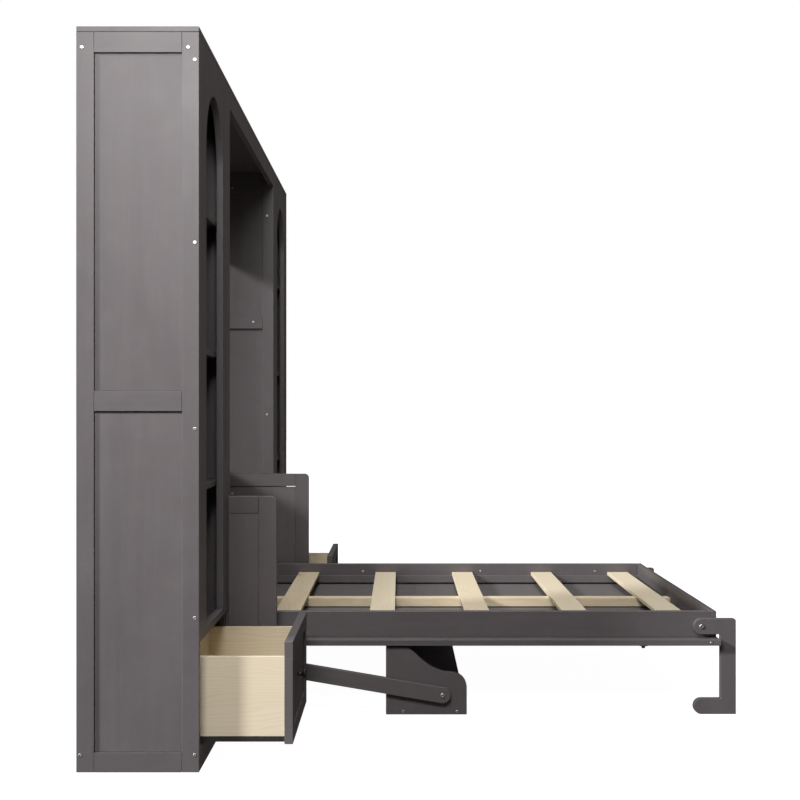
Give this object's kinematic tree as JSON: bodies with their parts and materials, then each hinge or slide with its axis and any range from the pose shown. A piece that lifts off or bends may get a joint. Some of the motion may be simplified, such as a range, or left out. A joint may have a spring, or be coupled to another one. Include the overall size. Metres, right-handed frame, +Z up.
{
  "type": "murphy wall bed",
  "caption": "Fold-down double wall bed between two arched bookcases with drawers, with a level desk hung under the bed panel and C-shaped legs.",
  "frame": {"origin": "on the floor, under the centre of the box around the opened bed", "axes": "+X to the right across the cabinet, -Y the front towards which the bed unfolds, +Z up"},
  "size_m": [2.9232, 2.087, 2.15],
  "materials": {
    "painted_wood": "satin dark grey-brown paint on pine, faint grain",
    "painted_panel": "satin dark grey-brown paint on thin board",
    "pine": "natural planed pine",
    "bolt_steel": "zinc-plated bolt heads",
    "black_steel": "black powder-coated steel",
    "black_metal": "satin black handles and knobs",
    "black_plastic": "matt black runner strips"
  },
  "bodies": {
    "cabinet": {"top_board": "painted_wood", "left_outer_frame": "painted_wood", "right_outer_frame": "painted_wood", "left_outer_panels": "painted_panel", "right_outer_panels": "painted_panel", "left_inner_side": "painted_wood", "right_inner_side": "painted_wood", "left_arch_face": "painted_wood", "right_arch_face": "painted_wood", "left_base_face": "painted_wood", "right_base_face": "painted_wood", "left_shelves": "painted_wood", "right_shelves": "painted_wood", "left_back_panel": "painted_panel", "right_back_panel": "painted_panel", "bay_back_panel": "painted_panel", "wall_rail": "painted_wood", "bay_floor_rail": "painted_wood", "bay_header": "painted_wood", "left_surround_upper": "painted_wood", "right_surround_upper": "painted_wood", "left_surround_lower": "painted_wood", "right_surround_lower": "painted_wood", "left_surround_panels": "painted_panel", "right_surround_panels": "painted_panel", "left_hinge_plate": "black_steel", "right_hinge_plate": "black_steel", "cabinet_bolts": "bolt_steel", "drawer_guides": "black_plastic"},
    "bed": {"left_side_rail": "painted_wood", "right_side_rail": "painted_wood", "head_rail": "painted_wood", "foot_rail": "painted_wood", "slat_ledgers": "painted_wood", "centre_beam": "pine", "slats": "pine", "front_panel_frame": "painted_wood", "front_panel_infill": "painted_panel", "pull_handles": "black_metal", "bed_hinge_plates": "black_steel", "desk_brackets": "black_steel", "bed_bolts": "bolt_steel"},
    "desk": {"desk_top": "painted_wood", "left_desk_side": "painted_wood", "right_desk_side": "painted_wood", "desk_back_rail": "painted_wood", "desk_bolts": "bolt_steel"},
    "left_link": {"left_link_arm": "painted_wood"},
    "right_link": {"right_link_arm": "painted_wood"},
    "left_leg_body": {"left_leg": "painted_wood"},
    "right_leg_body": {"right_leg": "painted_wood"},
    "left_drawer": {"left_drawer_front": "painted_wood", "left_drawer_box": "pine", "left_drawer_runners": "black_plastic", "left_drawer_knob": "black_metal"},
    "right_drawer": {"right_drawer_front": "painted_wood", "right_drawer_box": "pine", "right_drawer_runners": "black_plastic", "right_drawer_knob": "black_metal"}
  },
  "joints": [
    {"name": "bed_fold", "type": "hinge", "parent": "cabinet", "child": "bed", "pos_m": [0, 0.7345, 0.284], "axis": [-1, 0, 0], "range_deg": [0, 90]},
    {"name": "desk_level", "type": "hinge", "parent": "bed", "child": "desk", "pos_m": [0, 0.1385, 0.183], "axis": [-1, 0, 0], "range_deg": [-90, 0]},
    {"name": "left_link_swing", "type": "hinge", "parent": "cabinet", "child": "left_link", "pos_m": [-0.761, 0.5615, 0.173], "axis": [-1, 0, 0], "range_deg": [0, 90]},
    {"name": "right_link_swing", "type": "hinge", "parent": "cabinet", "child": "right_link", "pos_m": [0.761, 0.5615, 0.173], "axis": [-1, 0, 0], "range_deg": [0, 90]},
    {"name": "left_leg_rock", "type": "hinge", "parent": "bed", "child": "left_leg_body", "pos_m": [-0.7235, -0.9255, 0.301], "axis": [-1, 0, 0], "range_deg": [0, 5]},
    {"name": "right_leg_rock", "type": "hinge", "parent": "bed", "child": "right_leg_body", "pos_m": [0.7235, -0.9255, 0.301], "axis": [-1, 0, 0], "range_deg": [0, 5]},
    {"name": "left_drawer_slide", "type": "slide", "parent": "cabinet", "child": "left_drawer", "axis": [0, -1, 0], "range_m": [-0.2664, 0]},
    {"name": "right_drawer_slide", "type": "slide", "parent": "cabinet", "child": "right_drawer", "axis": [0, -1, 0], "range_m": [-0.2664, 0]}
  ],
  "couplings": [
    {"joint": "desk_level", "follows": "bed_fold", "ratio": -1},
    {"joint": "left_link_swing", "follows": "bed_fold", "ratio": 1},
    {"joint": "right_link_swing", "follows": "bed_fold", "ratio": 1}
  ]
}
